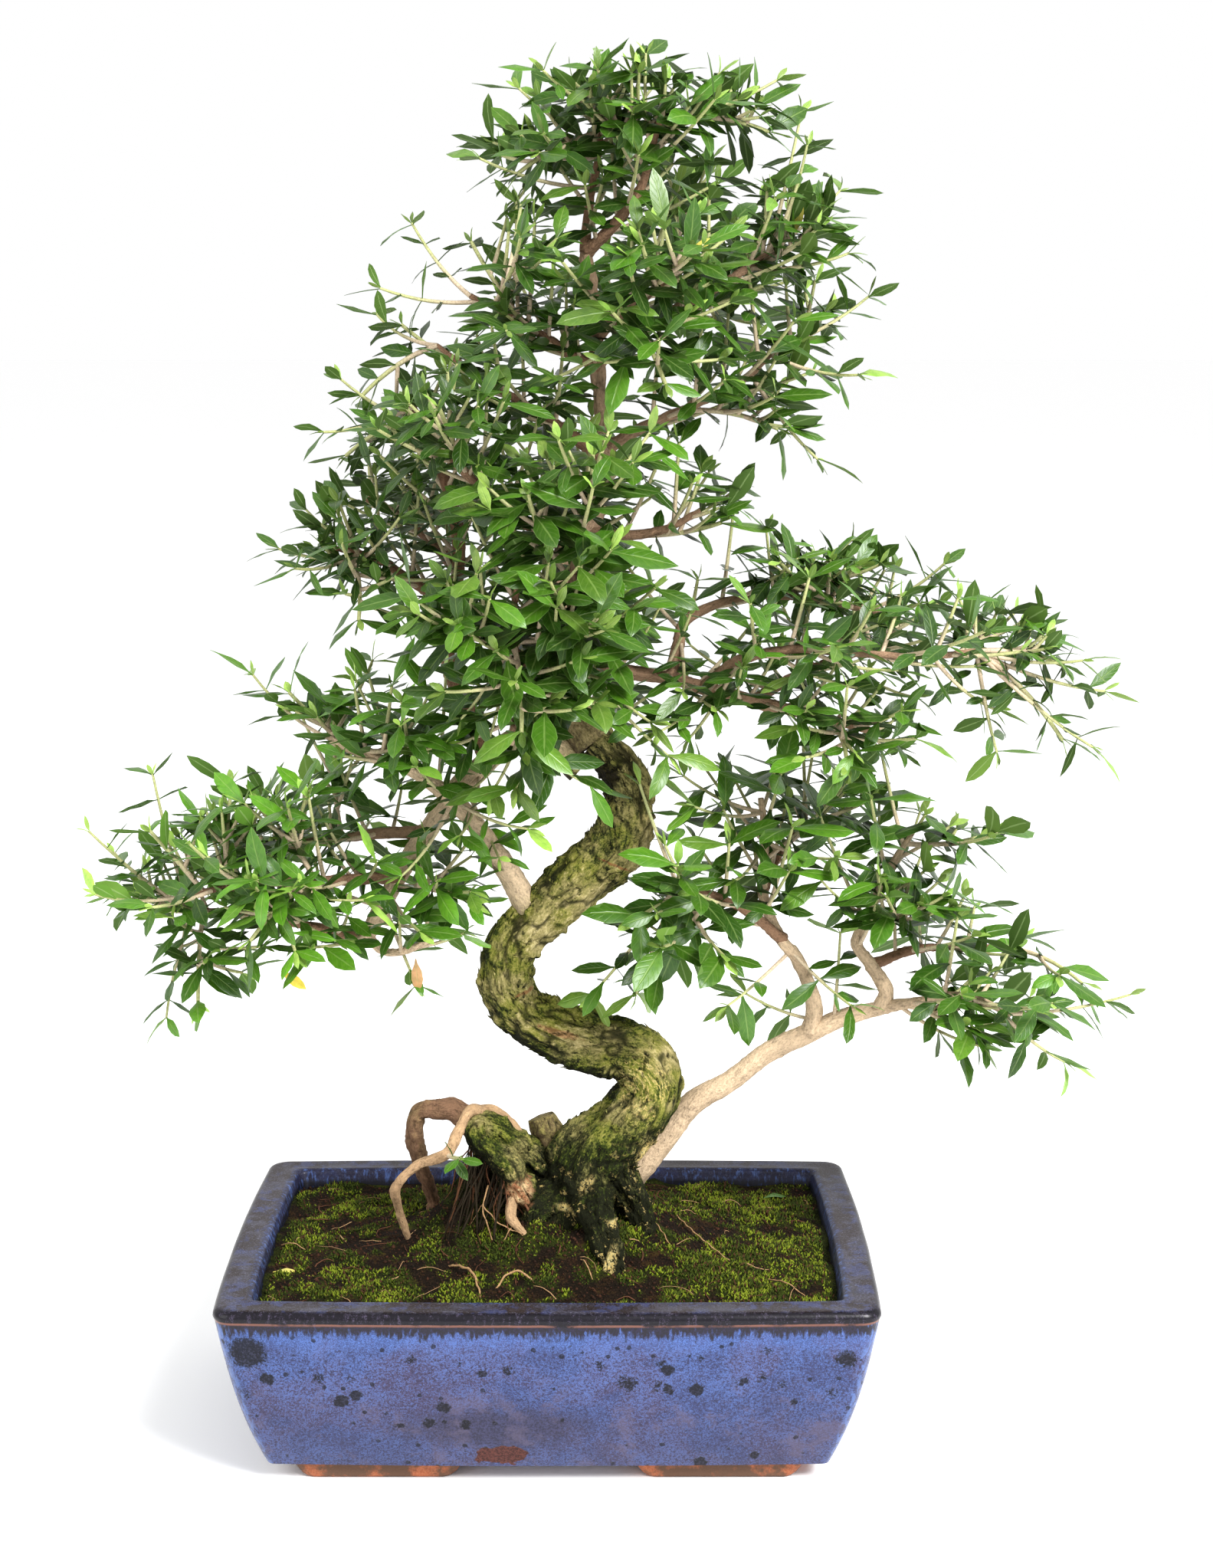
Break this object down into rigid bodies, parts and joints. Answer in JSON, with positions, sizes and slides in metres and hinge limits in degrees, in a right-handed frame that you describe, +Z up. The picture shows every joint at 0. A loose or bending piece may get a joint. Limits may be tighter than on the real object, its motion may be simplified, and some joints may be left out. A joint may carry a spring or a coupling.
{
  "type": "serissa bonsai",
  "caption": "Small-leaved bonsai with an old twisting trunk, surface roots and open leafy pads, growing in mossy soil in a glazed rectangular pot on low feet.",
  "frame": {"origin": "middle of the whole object's footprint, at the level of the undersides of the pot's feet", "axes": "+Z up along the tree's height, +X along the pot's length to the right as seen from its front, -Y towards the front"},
  "size_m": [0.4398, 0.2066, 0.5613],
  "materials": {
    "glaze": "gloss blue glaze over grey-violet, with bare orange clay on the feet",
    "soil": "damp dark granules with green moss",
    "mesh_plastic": "matte",
    "bark": "rough mossy fissured bark",
    "leaf": "semi-gloss living leaf",
    "leaf_fallen": "semi-gloss living leaf",
    "leaf_yellow": "dull wilted leaf"
  },
  "bodies": {
    "root": {"pot": "glaze", "soil": "soil", "drain_mesh_left": "mesh_plastic", "drain_mesh_right": "mesh_plastic", "tree": "bark", "crown_spray_1": "leaf", "crown_spray_2": "leaf", "crown_spray_3": "leaf", "crown_spray_4": "leaf", "crown_spray_5": "leaf", "crown_spray_6": "leaf", "crown_spray_7": "leaf", "crown_spray_8": "leaf", "crown_spray_9": "leaf", "crown_spray_10": "leaf", "crown_spray_11": "leaf", "upper_left_spray_1": "leaf", "upper_left_spray_2": "leaf", "upper_left_spray_3": "leaf", "upper_left_spray_4": "leaf", "upper_left_spray_5": "leaf", "upper_left_spray_6": "leaf", "upper_left_spray_7": "leaf", "upper_left_spray_8": "leaf", "upper_left_spray_9": "leaf", "front_spray_1": "leaf", "front_spray_2": "leaf", "front_spray_3": "leaf", "front_spray_4": "leaf", "front_spray_5": "leaf", "left_spray_1": "leaf", "left_spray_2": "leaf", "left_spray_3": "leaf", "left_spray_4": "leaf", "left_spray_5": "leaf", "left_spray_6": "leaf", "left_spray_7": "leaf", "left_spray_8": "leaf", "left_spray_9": "leaf", "left_spray_10": "leaf", "left_spray_11": "leaf", "right_upper_spray_1": "leaf", "right_upper_spray_2": "leaf", "right_upper_spray_3": "leaf", "right_upper_spray_4": "leaf", "right_upper_spray_5": "leaf", "right_upper_spray_6": "leaf", "right_upper_spray_7": "leaf", "right_upper_spray_8": "leaf", "right_low_spray_1": "leaf", "right_low_spray_2": "leaf", "right_low_spray_3": "leaf", "right_low_spray_4": "leaf", "right_low_spray_5": "leaf", "right_low_spray_6": "leaf", "right_low_spray_7": "leaf", "back_spray_1": "leaf", "root_sprout": "leaf", "fallen_leaf_yellow": "leaf_yellow", "fallen_leaf_green": "leaf_fallen"}
  },
  "joints": []
}
